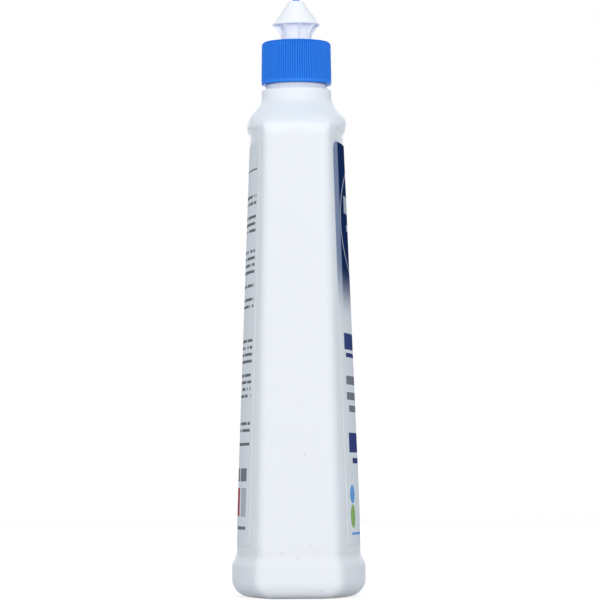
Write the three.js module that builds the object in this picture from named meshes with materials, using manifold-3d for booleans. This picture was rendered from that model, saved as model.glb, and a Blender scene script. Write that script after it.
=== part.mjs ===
// A floor cleaner bottle: a blow-moulded flat bottle with a label on each broad face, a ribbed screw
// cap and a push-pull pouring spout. Millimetres, +Z up, origin under the middle of the base.
// The front label faces -Y and the flat narrow sides face -X and +X.

import * as THREE from "three";
import { mergeVertices } from "three/addons/utils/BufferGeometryUtils.js";
import Module from "manifold-3d";

const wasm = await Module();
wasm.setup();

// Body of the bottle
const bodyTopWidth = 88;
const bodyFootWidth = 98;
const bodyTopDepth = 43.4;
const bodyFootDepth = 59.6;
const footDepthLimit = 57.5;
const footDepthBlend = 1;
const sideTopFlat = 20.2;
const sideFootFlat = 29.4;
const cornerTopDepth = 30.8;
const cornerFootDepth = 39.4;
const cornerRound = 3.6;
const wall = 1.0;

// Base band, standing ring and push-up
const bandHeight = 14;
const bandBlend = 6.3;
const bandOut = 2.15;
const bandOutSide = 0.8;
const baseRound = 8;
const standingRing = 5;
const pushUp = 1.6;
const pushUpRound = 6;
const floorWall = 1.2;
const floorRise = 0.3;
const bandCornerShare = 0.6;
const insetCornerShare = 0.9;

// Shoulder, whose heights are rises above the top of the panel
const panelTop = 214.2;
const crestRise = 4.1;
const crestOut = 1.65;
const crestRound = 6.9;
const crestLowerRound = 8.5;
const shoulderSlope = 39.7;
const shoulderRise = 17.94;
const collarFillet = 7.75;
const endCornerRound = 6;
const endSlope = 19;
const endFillet = 4;
const roundBelowCollar = 4;

// Neck, stacked on the shoulder
const collarRadius = 16.2;
const collarDepth = 3.66;
const collarEdge = 0.6;
const neckRingRadius = 14.4;
const neckRingDepth = 1.4;
const neckRadius = 12.6;
const neckBore = 11.3;
const finishHeight = 16.9;
const lipChamfer = 0.5;
const collarInsideDrop = 2;

// Screw thread
const pitch = 4.2333;
const threadTurns = 1.5;
const threadDepth = 1.15;
const threadRootWidth = 2.3;
const threadCrestWidth = 1.0;
const threadTopGap = 2.2;
const threadSlack = 0.35;
const threadSink = 0.6;
const threadStepsPerTurn = 24;
const threadEndShare = 0.25;
const threadEndTurn = 0.125;

// Screw cap
const capFootGap = 0.3;
const capFootRadius = 16.35;
const capTopRadius = 16.05;
const capBoreGap = 0.35;
const capTopWall = 1.8;
const capEdgeRound = 1.6;
const ribCount = 92;
const ribDepth = 0.35;
const plainBand = 1.4;
const footChamfer = 0.3;

// Liner
const linerThickness = 1.0;
const linerWidth = 4.4;

// Spout and the tube that carries it
const gap = 0.3;
const tubeRadius = 4.2;
const tubeBore = 3.2;
const tubeHeight = 9.4;
const beadHeight = 1.2;
const beadOut = 0.45;
const beadRound = 0.3;
const postRadius = 1.7;
const postTipAbove = 1.6;
const postTipRound = 1.1;
const spokeCount = 3;
const spokeWidth = 1.1;
const spokeHeight = 1.6;
const spokeRise = 2.4;
const spoutWall = 1.15;
const spoutHeight = 19;
const coneRadius = 11.05;
const coneTopRadius = 4.1;
const coneFoot = 7.4;
const coneRimHeight = 0.7;
const coneRimRound = 0.5;
const coneRoofRise = 1.6;
const coneHeight = 9.7;
const lipRound = 0.9;
const lipCatch = 1.3;
const orificeEdge = 0.3;
const finCount = 8;
const finTurn = 10;
const finWidth = 1.0;
const finFootOut = 1.05;
const finTopIn = 0.25;
const finHollow = 0.25;
const finHollowShare = 0.65;
const finSink = 0.3;

// Labels
const labelSide = 2.9;
const labelFoot = 24.2;
const labelDrop = 4.7;
const labelCorner = 5;
const labelThickness = 0.3;
const labelMargin = 0.5;

// Contents
const headSpace = 11.2;

// Fineness of the surfaces
const broadSteps = 5;
const cornerSteps = 3;
const roundSteps = 48;
const cutBeyond = 1;

// Heights that follow from the sizes above
const crestHeight = panelTop + crestRise;
const crestStart = crestHeight - Math.sqrt(2 * crestLowerRound * crestOut - crestOut ** 2);
const collarHeight = panelTop + shoulderRise;
const collarTop = collarHeight + collarDepth;
const neckRingTop = collarTop + neckRingDepth;
const neckTop = neckRingTop + finishHeight;
const labelTop = panelTop - labelDrop;
const labelWidth = bodyTopWidth - 2 * (cornerRound + labelSide);
const fillHeight = panelTop - headSpace;


const rad = (degrees) => (degrees * Math.PI) / 180;
const mix = (a, b, t) => a + (b - a) * t;
const clamp01 = (t) => Math.min(1, Math.max(0, t));
const smooth = (t) => clamp01(t) ** 2 * (3 - 2 * clamp01(t));

// Solids are closed triangle lists with outward faces

function toSolid(geometry) {
  const plain = geometry.clone();
  plain.deleteAttribute("normal");
  plain.deleteAttribute("uv");
  const merged = mergeVertices(plain, 1e-5);
  const vertProperties = new Float32Array(merged.attributes.position.array);
  const triVerts = new Uint32Array(merged.index.array);
  return new wasm.Manifold(new wasm.Mesh({ numProp: 3, vertProperties, triVerts }));
}

function toGeometry(solid) {
  const mesh = solid.getMesh();
  const geometry = new THREE.BufferGeometry();
  geometry.setAttribute("position", new THREE.BufferAttribute(new Float32Array(mesh.vertProperties), 3));
  geometry.setIndex(new THREE.BufferAttribute(new Uint32Array(mesh.triVerts), 1));
  geometry.computeVertexNormals();
  return geometry;
}

// Rings of equal length joined one to the next, closed by a fan at each end
function loft(rings, firstPoint, lastPoint) {
  const count = rings[0].length;
  const points = [firstPoint, ...rings.flat(), lastPoint];
  const faces = [];
  const at = (ring, i) => 1 + ring * count + (i % count);
  for (let i = 0; i < count; i += 1) {
    faces.push(0, at(0, i + 1), at(0, i));
    faces.push(points.length - 1, at(rings.length - 1, i), at(rings.length - 1, i + 1));
  }
  for (let ring = 0; ring + 1 < rings.length; ring += 1) {
    for (let i = 0; i < count; i += 1) {
      faces.push(at(ring, i), at(ring, i + 1), at(ring + 1, i + 1));
      faces.push(at(ring, i), at(ring + 1, i + 1), at(ring + 1, i));
    }
  }
  const geometry = new THREE.BufferGeometry();
  geometry.setAttribute("position", new THREE.BufferAttribute(new Float32Array(points.flat()), 3));
  geometry.setIndex(faces);
  return geometry;
}

// A turned piece: radius and height pairs that close on themselves, going round anticlockwise
function turned(profile, steps = roundSteps) {
  const points = profile.map(([radius, height]) => new THREE.Vector2(radius, height));
  points.push(points[0].clone());
  const geometry = new THREE.LatheGeometry(points, steps);
  geometry.rotateX(Math.PI / 2);
  return geometry;
}

// Outline of the bottle at each height

const shoulderSin = Math.sin(rad(shoulderSlope));
const shoulderCos = Math.cos(rad(shoulderSlope));
const endSin = Math.sin(rad(endSlope));
const endCos = Math.cos(rad(endSlope));

function taper(foot, top, z) {
  return mix(foot, top, z / panelTop);
}

function bandShare(z) {
  return smooth((bandHeight + bandBlend - z) / bandBlend);
}

// Half depth at the middle of the broad faces: a straight taper that eases off towards the foot
function bodyHalfDepth(z) {
  const straight = taper(bodyFootDepth, bodyTopDepth, z) / 2;
  const limit = footDepthLimit / 2;
  const near = Math.max(footDepthBlend - Math.abs(straight - limit), 0) / footDepthBlend;
  return Math.min(straight, limit) - (near ** 2 * footDepthBlend) / 4;
}

// The shoulder there: round crest, slope and fillet up to the collar
function shoulderHalfDepth(z) {
  const crestHalf = bodyHalfDepth(crestHeight) + crestOut;
  if (z < crestHeight) {
    const fall = Math.min(crestHeight - z, crestLowerRound);
    const swell = crestHalf - crestLowerRound + Math.sqrt(crestLowerRound ** 2 - fall ** 2);
    return Math.max(bodyHalfDepth(z), swell);
  }
  const roundEnd = crestHeight + crestRound * shoulderSin;
  const filletStart = collarHeight - collarFillet * shoulderSin;
  if (z >= collarHeight) return collarRadius;
  if (z >= filletStart) {
    const rise = collarHeight - z;
    return collarRadius + collarFillet - Math.sqrt(collarFillet ** 2 - rise ** 2);
  }
  const filletHalf = collarRadius + collarFillet * (1 - shoulderCos);
  const roundHalf = crestHalf - crestRound * (1 - shoulderCos);
  if (z >= roundEnd) return mix(roundHalf, filletHalf, (z - roundEnd) / (filletStart - roundEnd));
  return crestHalf - crestRound + Math.sqrt(crestRound ** 2 - Math.max(0, z - crestHeight) ** 2);
}

// Half width over the narrow ends, above the panel: round, gentle slope, fillet
function shoulderHalfWidth(z) {
  const topHalf = bodyTopWidth / 2;
  const roundEnd = panelTop + endCornerRound * endCos;
  const roundHalf = topHalf - endCornerRound * (1 - endSin);
  const filletStart = collarHeight - endFillet * endCos;
  const filletHalf = collarRadius + endFillet * (1 - endSin);
  if (z >= collarHeight) return collarRadius;
  if (z >= filletStart) {
    const rise = collarHeight - z;
    return collarRadius + endFillet - Math.sqrt(endFillet ** 2 - rise ** 2);
  }
  if (z >= roundEnd) return mix(roundHalf, filletHalf, (z - roundEnd) / (filletStart - roundEnd));
  const rise = z - panelTop;
  return topHalf - endCornerRound + Math.sqrt(endCornerRound ** 2 - rise ** 2);
}

function baseInset(z) {
  if (z >= baseRound) return 0;
  return baseRound - Math.sqrt(baseRound ** 2 - (baseRound - z) ** 2);
}

// All the half sizes of the outline at one height
function outlineAt(z) {
  const inset = baseInset(z);
  const band = bandShare(z);
  const low = Math.min(z, panelTop);
  const depth = shoulderHalfDepth(z) + bandOut * band;
  const width = z > panelTop
    ? shoulderHalfWidth(z)
    : taper(bodyFootWidth, bodyTopWidth, low) / 2 + bandOutSide * band;
  const corner = taper(cornerFootDepth, cornerTopDepth, low) / 2 + bandOut * band * bandCornerShare;
  const flat = taper(sideFootFlat, sideTopFlat, low) / 2 + bandOut * band * bandCornerShare;
  const rounding = smooth((z - panelTop) / (shoulderRise - roundBelowCollar));
  return {
    width: width - inset,
    depth: depth - inset,
    corner: corner - inset * insetCornerShare,
    flat: flat - inset * bandCornerShare,
    rounding,
  };
}

// The labels sit in a shallow seat in each broad face
const seatDepth = labelThickness + gap;
const seatHalf = labelWidth / 2 + labelMargin;
const seatStep = 0.6;
const seatFoot = labelFoot - labelMargin;
const seatTop = labelTop + labelMargin;

// Points of one quarter from the middle of the broad face to the middle of the narrow end
function quarter(outline, seated) {
  const { width, depth, corner, flat, rounding } = outline;
  const cornerStart = width - cornerRound;
  const sag = depth - corner;
  const arc = (cornerStart ** 2 + sag ** 2) / (2 * sag);
  const faceAt = (x) => depth - arc + Math.sqrt(arc ** 2 - x ** 2);
  const scale = Math.min(1, cornerStart / (bodyTopWidth / 2 - cornerRound));
  const edges = [seatHalf * scale, (seatHalf + seatStep) * scale];
  const points = [];
  for (let i = 0; i <= broadSteps; i += 1) {
    const x = (edges[0] * i) / broadSteps;
    points.push([x, faceAt(x) - (seated ? seatDepth : 0)]);
  }
  points.push([edges[1], faceAt(edges[1])]);
  const slope = cornerStart / Math.sqrt(arc ** 2 - cornerStart ** 2);
  const control = [width, corner - cornerRound * slope];
  for (let i = 0; i <= cornerSteps; i += 1) {
    const t = i / cornerSteps;
    const x = (1 - t) ** 2 * cornerStart + 2 * t * (1 - t) * control[0] + t ** 2 * width;
    const y = (1 - t) ** 2 * corner + 2 * t * (1 - t) * control[1] + t ** 2 * flat;
    points.push([x, y]);
  }
  points.push([width, flat / 2]);
  points.push([width, 0]);
  return points.map(([x, y], i) => {
    const angle = (Math.PI / 2) * (1 - i / (points.length - 1));
    const roundX = width * Math.cos(angle);
    const roundY = depth * Math.sin(angle);
    return [mix(x, roundX, rounding), mix(y, roundY, rounding)];
  });
}

// A whole ring, anticlockwise from above, starting at the front
function ringAt(z, outline, seated = false) {
  const part = quarter(outline, seated);
  const back = part.slice(0, -1);
  const side = part.slice(1).reverse();
  return [
    ...back.map(([x, y]) => [x, -y, z]),
    ...side.map(([x, y]) => [x, y, z]),
    ...back.map(([x, y]) => [-x, y, z]),
    ...side.map(([x, y]) => [-x, -y, z]),
  ];
}

function circleRing(z, radius) {
  const outline = { width: radius, depth: radius, corner: radius / 2, flat: radius / 4, rounding: 1 };
  return ringAt(z, outline);
}

function shrunk(outline, by) {
  const share = (outline.depth - by) / outline.depth;
  return {
    width: outline.width - by,
    depth: outline.depth - by,
    corner: outline.corner * share,
    flat: outline.flat * share,
    rounding: outline.rounding,
  };
}

function spread(from, to, steps) {
  return Array.from({ length: steps + 1 }, (_, i) => mix(from, to, i / steps));
}

// Outer skin from the standing ring up to the collar
function outerRings() {
  const rings = [];
  const foot = outlineAt(0);
  rings.push(ringAt(pushUp - floorRise, shrunk(foot, standingRing + pushUpRound)));
  rings.push(ringAt(0, shrunk(foot, standingRing)));
  rings.push(ringAt(0, foot));
  for (const angle of [18, 36, 54, 72, 90]) {
    const z = baseRound * (1 - Math.cos(rad(angle)));
    rings.push(ringAt(z, outlineAt(z)));
  }
  for (const z of [(baseRound + bandHeight) / 2, ...spread(bandHeight, bandHeight + bandBlend, 4)]) {
    rings.push(ringAt(z, outlineAt(z)));
  }
  rings.push(ringAt(seatFoot - seatStep, outlineAt(seatFoot - seatStep)));
  for (const z of spread(seatFoot, seatTop, 6)) rings.push(ringAt(z, outlineAt(z), true));
  rings.push(ringAt(seatTop + seatStep, outlineAt(seatTop + seatStep)));
  for (const z of spread(crestStart, crestHeight, 5)) rings.push(ringAt(z, outlineAt(z)));
  for (const z of spread(crestHeight, collarHeight, 11).slice(1)) rings.push(ringAt(z, outlineAt(z)));
  return rings;
}

// Collar, neck ring, plain neck and lip
function neckRings() {
  const profile = [
    [collarRadius, collarTop - collarEdge],
    [collarRadius - collarEdge, collarTop],
    [neckRingRadius, collarTop],
    [neckRingRadius, neckRingTop],
    [neckRadius, neckRingTop],
    [neckRadius, neckTop - lipChamfer],
    [neckRadius - lipChamfer, neckTop],
    [neckBore, neckTop],
  ];
  return profile.map(([radius, z]) => circleRing(z, radius));
}

// Inner skin from the neck down to the floor
function innerRings() {
  const collarInside = collarRadius - wall;
  const rings = [
    circleRing(collarTop + wall, neckBore),
    circleRing(collarTop - collarInsideDrop, collarInside),
  ];
  for (const z of spread(collarHeight - wall, crestHeight - wall, 6)) {
    rings.push(ringAt(z, shrunk(outlineAt(z + wall), wall)));
  }
  for (const z of spread(crestStart - wall, bandHeight + bandBlend, 5)) {
    rings.push(ringAt(z, shrunk(outlineAt(z), wall + seatDepth)));
  }
  rings.push(ringAt(bandHeight, shrunk(outlineAt(bandHeight), wall)));
  for (const angle of [80, 50, 20]) {
    const z = baseRound * (1 - Math.cos(rad(angle)));
    rings.push(ringAt(z + pushUp + floorWall, shrunk(outlineAt(z), wall)));
  }
  return rings;
}

// A thread ridge of four-sided section along a helix, with tapered ends. It stands on a wall of the
// given radius and grows outwards (side 1) or inwards (side -1).
function threadRidge(wallRadius, side, startHeight) {
  const steps = Math.round(threadTurns * threadStepsPerTurn);
  const rings = [];
  for (let i = 0; i <= steps; i += 1) {
    const angle = (i / threadStepsPerTurn) * 2 * Math.PI;
    const end = Math.min(i, steps - i) / (threadStepsPerTurn * threadEndTurn);
    const grown = mix(threadEndShare, 1, smooth(end));
    const middle = startHeight + (pitch * angle) / (2 * Math.PI);
    const root = wallRadius - side * threadSink;
    const crest = wallRadius + side * threadDepth * grown;
    const corners = [
      [root, -threadRootWidth / 2],
      [crest, (-threadCrestWidth / 2) * grown],
      [crest, (threadCrestWidth / 2) * grown],
      [root, threadRootWidth / 2],
    ];
    const ordered = side < 0 ? corners : [...corners].reverse();
    rings.push(ordered.map(([radius, rise]) => [
      radius * Math.cos(angle),
      radius * Math.sin(angle),
      middle + rise,
    ]));
  }
  const centre = (ring) => [0, 1, 2].map((axis) => ring.reduce((sum, point) => sum + point[axis], 0) / 4);
  const geometry = loft(rings, centre(rings[0]), centre(rings[rings.length - 1]));
  return toSolid(geometry);
}

const neckThreadEnd = neckTop - threadTopGap - threadRootWidth / 2;
const neckThreadStart = neckThreadEnd - threadTurns * pitch;

function makeBottle() {
  const rings = [...outerRings(), ...neckRings(), ...innerRings()];
  const shell = loft(rings, [0, 0, pushUp], [0, 0, pushUp + floorWall]);
  return toSolid(shell).add(threadRidge(neckRadius, 1, neckThreadStart));
}

// Screw cap

const capFoot = neckRingTop + capFootGap;
const linerFoot = neckTop + gap;
const capCeiling = linerFoot + linerThickness + gap;
const capTop = capCeiling + capTopWall;
const capBore = neckRadius + threadDepth + capBoreGap;
const tubeTop = capTop + tubeHeight;
const spoutFoot = capTop + gap;
const spoutTop = spoutFoot + spoutHeight;

// Ring of grip ribs: every second point lies in a groove
function ribbedRing(z, radius, depth) {
  return Array.from({ length: ribCount * 2 }, (_, i) => {
    const angle = (Math.PI * i) / ribCount;
    const reach = radius - (i % 2) * depth;
    return [reach * Math.cos(angle), reach * Math.sin(angle), z];
  });
}

function capRadiusAt(z) {
  return mix(capFootRadius, capTopRadius, (z - capFoot) / (capTop - capFoot));
}

function makeCapBody() {
  const ribFoot = capFoot + plainBand;
  const ribTop = capTop - capEdgeRound;
  const rings = [
    ribbedRing(capFoot, capFootRadius - footChamfer, 0),
    ribbedRing(capFoot + footChamfer, capFootRadius, 0),
    ribbedRing(ribFoot, capRadiusAt(ribFoot), 0),
    ribbedRing(ribFoot + ribDepth, capRadiusAt(ribFoot), ribDepth),
    ribbedRing(ribTop, capRadiusAt(ribTop), ribDepth),
  ];
  for (const angle of [45, 90]) {
    const inward = capEdgeRound * (1 - Math.cos(rad(angle)));
    const z = ribTop + capEdgeRound * Math.sin(rad(angle));
    rings.push(ribbedRing(z, capRadiusAt(ribTop) - inward, ribDepth * Math.cos(rad(angle))));
  }
  return toSolid(loft(rings, [0, 0, capFoot], [0, 0, capTop]));
}

function makeCap() {
  const bore = toSolid(turned([
    [0, capFoot - cutBeyond],
    [capBore, capFoot - cutBeyond],
    [capBore, capCeiling],
    [0, capCeiling],
  ]));
  const tube = toSolid(turned([
    [tubeBore, capTop - cutBeyond],
    [tubeRadius, capTop - cutBeyond],
    [tubeRadius, tubeTop - beadHeight],
    [tubeRadius + beadOut, tubeTop - beadHeight + beadRound],
    [tubeRadius + beadOut, tubeTop - beadOut],
    [tubeRadius, tubeTop],
    [tubeBore, tubeTop],
  ]));
  const passage = toSolid(turned([
    [0, capCeiling - cutBeyond],
    [tubeBore, capCeiling - cutBeyond],
    [tubeBore, capTop + cutBeyond],
    [0, capTop + cutBeyond],
  ]));
  const spokeFoot = capTop + spokeRise;
  const tip = spoutTop + postTipAbove;
  const post = toSolid(turned([
    [0, spokeFoot],
    [postRadius, spokeFoot],
    [postRadius, tip - postTipRound],
    [postRadius * Math.sin(rad(60)), tip - postTipRound * (1 - Math.cos(rad(60)))],
    [postRadius * Math.sin(rad(30)), tip - postTipRound * (1 - Math.cos(rad(30)))],
    [0, tip],
  ], roundSteps / 2));
  let cap = makeCapBody().subtract(bore).subtract(passage).add(tube).add(post);
  for (let i = 0; i < spokeCount; i += 1) {
    const reach = (tubeBore + tubeRadius) / 2;
    const spoke = new THREE.BoxGeometry(reach, spokeWidth, spokeHeight);
    spoke.translate(reach / 2, 0, spokeFoot + spokeHeight / 2);
    spoke.rotateZ((2 * Math.PI * i) / spokeCount);
    cap = cap.add(toSolid(spoke));
  }
  const ridgeDrop = (threadRootWidth + threadCrestWidth) / 2 + threadSlack;
  return cap.add(threadRidge(capBore, -1, neckThreadStart - ridgeDrop));
}

function makeLiner() {
  const outer = capBore - gap;
  return toSolid(turned([
    [outer - linerWidth, linerFoot],
    [outer, linerFoot],
    [outer, linerFoot + linerThickness],
    [outer - linerWidth, linerFoot + linerThickness],
  ]));
}

// Push-pull spout

const spoutBore = tubeRadius + beadOut + gap;
const spoutRadius = spoutBore + spoutWall;
const coneStart = spoutFoot + coneFoot;
const coneEdge = coneStart + coneRimHeight;
const coneEnd = coneEdge + coneHeight;
const orifice = postRadius + gap;

function makeSpout() {
  const lip = tubeRadius + gap;
  const shell = toSolid(turned([
    [lip, spoutFoot],
    [spoutRadius, spoutFoot],
    [spoutRadius, coneStart - spoutWall],
    [spoutRadius + spoutWall, coneStart],
    [coneRadius - coneRimRound, coneStart],
    [coneRadius, coneStart + coneRimRound],
    [coneRadius, coneEdge],
    [coneTopRadius, coneEnd],
    [coneTopRadius - lipRound * (1 - Math.cos(rad(45))), mix(coneEnd, spoutTop, Math.sin(rad(45)))],
    [coneTopRadius - lipRound, spoutTop],
    [orifice + orificeEdge, spoutTop],
    [orifice, spoutTop - orificeEdge],
    [orifice, coneEnd - spoutWall],
    [spoutBore, tubeTop + coneRoofRise],
    [spoutBore, spoutFoot + lipCatch + beadOut],
    [lip, spoutFoot + lipCatch],
  ]));
  let spout = shell;
  for (let i = 0; i < finCount; i += 1) spout = spout.add(makeFin(finTurn + (360 * i) / finCount));
  return spout;
}

// One fin under the cone: its free edge is hollow, from the rim down to the foot
function makeFin(turn) {
  const inside = spoutRadius - finSink;
  const footReach = spoutRadius + finFootOut;
  const topReach = coneRadius - finTopIn;
  const top = coneStart + finSink;
  const outline = new THREE.Shape();
  outline.moveTo(inside, spoutFoot);
  outline.lineTo(footReach, spoutFoot);
  outline.quadraticCurveTo(footReach + finHollow, mix(spoutFoot, top, finHollowShare), topReach, top);
  outline.lineTo(inside, top);
  outline.closePath();
  const fin = new THREE.ExtrudeGeometry(outline, { depth: finWidth, bevelEnabled: false, curveSegments: 5 });
  fin.translate(0, 0, -finWidth / 2);
  fin.rotateX(Math.PI / 2);
  fin.rotateZ(rad(turn - 180));
  return toSolid(fin);
}

// Labels: thin curved sheets that follow the broad faces

function faceHalfDepth(x, z) {
  const { width, depth, corner } = outlineAt(z);
  const cornerStart = width - cornerRound;
  const sag = depth - corner;
  const arc = (cornerStart ** 2 + sag ** 2) / (2 * sag);
  return depth - arc + Math.sqrt(arc ** 2 - x ** 2);
}

function labelHalfWidth(z) {
  const fromEnd = Math.min(z - labelFoot, labelTop - z);
  const into = Math.max(0, labelCorner - fromEnd);
  return labelWidth / 2 - labelCorner + Math.sqrt(labelCorner ** 2 - into ** 2);
}

function makeLabel(side) {
  const cornerRises = spread(0, 90, 4).map((angle) => labelCorner * (1 - Math.cos(rad(angle))));
  const heights = [
    ...cornerRises.map((rise) => labelFoot + rise),
    ...spread(labelFoot + labelCorner, labelTop - labelCorner, 6).slice(1, -1),
    ...[...cornerRises].reverse().map((rise) => labelTop - rise),
  ];
  const across = 10;
  const rings = heights.map((z) => {
    const half = labelHalfWidth(z);
    const row = spread(-half, half, across).map((x) => [x, faceHalfDepth(x, z)]);
    const outer = row.map(([x, y]) => [x, side * y, z]);
    const inner = row.map(([x, y]) => [x, side * (y - labelThickness), z]);
    return side < 0 ? [...outer, ...inner.reverse()] : [...inner, ...outer.reverse()];
  });
  const foot = faceHalfDepth(0, labelFoot) - labelThickness / 2;
  const top = faceHalfDepth(0, labelTop) - labelThickness / 2;
  return toSolid(loft(rings, [0, side * foot, labelFoot], [0, side * top, labelTop]));
}

// Contents: the liquid that fills the bottle up to its level
function makeLiquid() {
  const rings = [];
  const inset = wall + gap;
  for (const angle of [25, 55, 85]) {
    const z = baseRound * (1 - Math.cos(rad(angle)));
    rings.push(ringAt(z + pushUp + floorWall + gap, shrunk(outlineAt(z), inset)));
  }
  rings.push(ringAt(bandHeight + gap, shrunk(outlineAt(bandHeight), inset)));
  for (const z of spread(bandHeight + bandBlend + gap, fillHeight, 4)) {
    rings.push(ringAt(z, shrunk(outlineAt(z), inset + seatDepth)));
  }
  const foot = pushUp + floorWall + gap;
  return toSolid(loft(rings, [0, 0, foot], [0, 0, fillHeight]));
}

// Materials and assembly

const milkyPlastic = { color: 0xdfe6ec, roughness: 0.42, metalness: 0 };
const bluePlastic = { color: 0x2d73e1, roughness: 0.38, metalness: 0 };
const whitePlastic = { color: 0xf2f4f6, roughness: 0.35, metalness: 0 };
const whiteFoam = { color: 0xeeeeea, roughness: 0.9, metalness: 0 };
const labelFilm = { color: 0x2a4a80, roughness: 0.3, metalness: 0 };
const paleLabelFilm = { color: 0xb9c6d4, roughness: 0.3, metalness: 0 };
const paleLiquid = { color: 0xe6edf2, roughness: 0.1, metalness: 0 };

function part(name, solid, look) {
  const mesh = new THREE.Mesh(toGeometry(solid), new THREE.MeshStandardMaterial(look));
  mesh.name = name;
  return mesh;
}

const bottle = new THREE.Group();
bottle.add(part("bottle", makeBottle(), milkyPlastic));
bottle.add(part("cap", makeCap(), bluePlastic));
bottle.add(part("liner", makeLiner(), whiteFoam));
bottle.add(part("spout", makeSpout(), whitePlastic));
bottle.add(part("front_label", makeLabel(-1), labelFilm));
bottle.add(part("back_label", makeLabel(1), paleLabelFilm));
bottle.add(part("cleaning_liquid", makeLiquid(), paleLiquid));

export default bottle;
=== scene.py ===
"""Looks of a floor cleaner bottle: a milky blow-moulded flat bottle with film labels on its broad
faces, a ribbed blue screw cap and a white push-pull spout. Sections follow the object as it is
assembled, after the photograph's camera, light and floor."""

import math

import bpy
from mathutils import Matrix, Vector


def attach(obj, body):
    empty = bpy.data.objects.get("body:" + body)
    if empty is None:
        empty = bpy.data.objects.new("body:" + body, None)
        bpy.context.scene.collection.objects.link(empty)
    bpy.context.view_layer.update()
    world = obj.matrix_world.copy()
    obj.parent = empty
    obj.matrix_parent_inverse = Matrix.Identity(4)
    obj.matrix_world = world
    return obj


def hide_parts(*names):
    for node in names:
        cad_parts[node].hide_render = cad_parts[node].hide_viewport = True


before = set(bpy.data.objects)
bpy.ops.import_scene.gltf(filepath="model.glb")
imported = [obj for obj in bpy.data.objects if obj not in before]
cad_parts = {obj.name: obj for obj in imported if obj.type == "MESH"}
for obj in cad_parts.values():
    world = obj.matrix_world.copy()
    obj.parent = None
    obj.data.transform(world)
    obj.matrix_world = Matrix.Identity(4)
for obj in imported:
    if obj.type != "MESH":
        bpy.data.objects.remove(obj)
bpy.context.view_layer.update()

# Frame
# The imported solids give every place: the bottle stands on its base at the origin, the front label
# faces -Y and the narrow sides face -X and +X. Sizes below are millimetres, turned to metres here.
MM = 0.001
scene = bpy.context.scene
scene.view_settings.view_transform = "Standard"


# Photograph's camera
# A long lens stands square to the narrow side, low down, and looks up a little, so the underside of
# the cap's rim and of the spout's cone show.
camera_distance = 1.6
camera_height = 0.0545
camera_pitch = 2.956
camera_roll = -0.29
camera_lens = 206.7
camera_aside = -0.00116

camera_data = bpy.data.cameras.new("photograph_camera")
camera_data.lens = camera_lens
camera_data.sensor_width = 36
camera_data.clip_end = 20
camera = bpy.data.objects.new("photograph_camera", camera_data)
facing = Matrix.Rotation(math.radians(-90), 4, "Z")
raised = Matrix.Rotation(math.radians(90 + camera_pitch), 4, "X")
rolled = Matrix.Rotation(math.radians(camera_roll), 4, "Z")
stand = Matrix.Translation((-camera_distance, camera_aside, camera_height))
camera.matrix_world = stand @ facing @ raised @ rolled
scene.collection.objects.link(camera)
scene.camera = camera


# Floor and light
# White studio: a pale floor that keeps the bottle's soft shadow, a large soft lamp level with the
# narrow side that the photograph shows, another overhead, one behind, and an even surround.
floor_reach = 6000.0
floor_drop = 0.1
floor_white = 0.6
floor_glow = 0.6
floor_glow_strength = 1.38
surround_light = 0.655
surround_colour = (0.93, 1.0, 1.09, 1)
key_power = 27.2
key_colour = (1.06, 1.0, 0.955)
key_size = 1.2
key_place = (-2.2, 0.0, 0.3)
top_power = 3.35
top_colour = (1.0, 1.0, 1.0)
top_size = 1.0
top_place = (-0.3, 0.0, 1.7)
fill_power = 17.0
fill_colour = (1.0, 1.0, 1.0)
fill_place = (2.2, 0.0, 0.5)
lamp_aim = (0.0, 0.0, 0.14)


def new_material(name):
    """An empty node material with its output and one Principled shader."""
    made = bpy.data.materials.new(name)
    made.use_nodes = True
    nodes = made.node_tree.nodes
    return made, nodes, made.node_tree.links, nodes["Principled BSDF"]


def node(nodes, kind, **inputs):
    """A shader node with its inputs set by name."""
    made = nodes.new(kind)
    for name, value in inputs.items():
        made.inputs[name.replace("_", " ")].default_value = value
    return made


def math_node(nodes, links, operation, first, second=None, clamp=False):
    """One step of arithmetic on sockets or numbers."""
    made = nodes.new("ShaderNodeMath")
    made.operation = operation
    made.use_clamp = clamp
    for place, value in enumerate((first, second)):
        if value is None:
            continue
        if isinstance(value, (int, float)):
            made.inputs[place].default_value = value
        else:
            links.new(value, made.inputs[place])
    return made.outputs[0]


def add_mesh(name, points, faces, smooth=True):
    """A mesh object from points in millimetres."""
    data = bpy.data.meshes.new(name)
    data.from_pydata([(x * MM, y * MM, z * MM) for x, y, z in points], [], faces)
    data.update()
    for polygon in data.polygons:
        polygon.use_smooth = smooth
    made = bpy.data.objects.new(name, data)
    scene.collection.objects.link(made)
    return made


def background_rays(nodes, links):
    """One for rays that see the background itself: straight, mirrored or through clear material."""
    seen = nodes.new("ShaderNodeLightPath")
    straight = math_node(nodes, links, "ADD", seen.outputs["Is Camera Ray"],
                         seen.outputs["Is Transmission Ray"], clamp=True)
    return math_node(nodes, links, "ADD", straight, seen.outputs["Is Glossy Ray"], clamp=True)


def make_floor():
    half = floor_reach / 2
    corners = [(x * half, y * half, -floor_drop) for x, y in ((-1, -1), (1, -1), (1, 1), (-1, 1))]
    floor = add_mesh("floor", corners, [(0, 1, 2, 3)], smooth=False)
    paint, nodes, links, shader = new_material("floor_white")
    shader.inputs["Base Color"].default_value = (floor_white, floor_white, floor_white, 1)
    shader.inputs["Roughness"].default_value = 0.9
    shader.inputs["Specular IOR Level"].default_value = 0.0
    glow = node(nodes, "ShaderNodeEmission", Color=(1, 1, 1, 1), Strength=floor_glow_strength)
    share = math_node(nodes, links, "MULTIPLY", background_rays(nodes, links), floor_glow)
    mixed = nodes.new("ShaderNodeMixShader")
    links.new(share, mixed.inputs[0])
    links.new(shader.outputs[0], mixed.inputs[1])
    links.new(glow.outputs[0], mixed.inputs[2])
    links.new(mixed.outputs[0], nodes["Material Output"].inputs["Surface"])
    floor.data.materials.append(paint)


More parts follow.
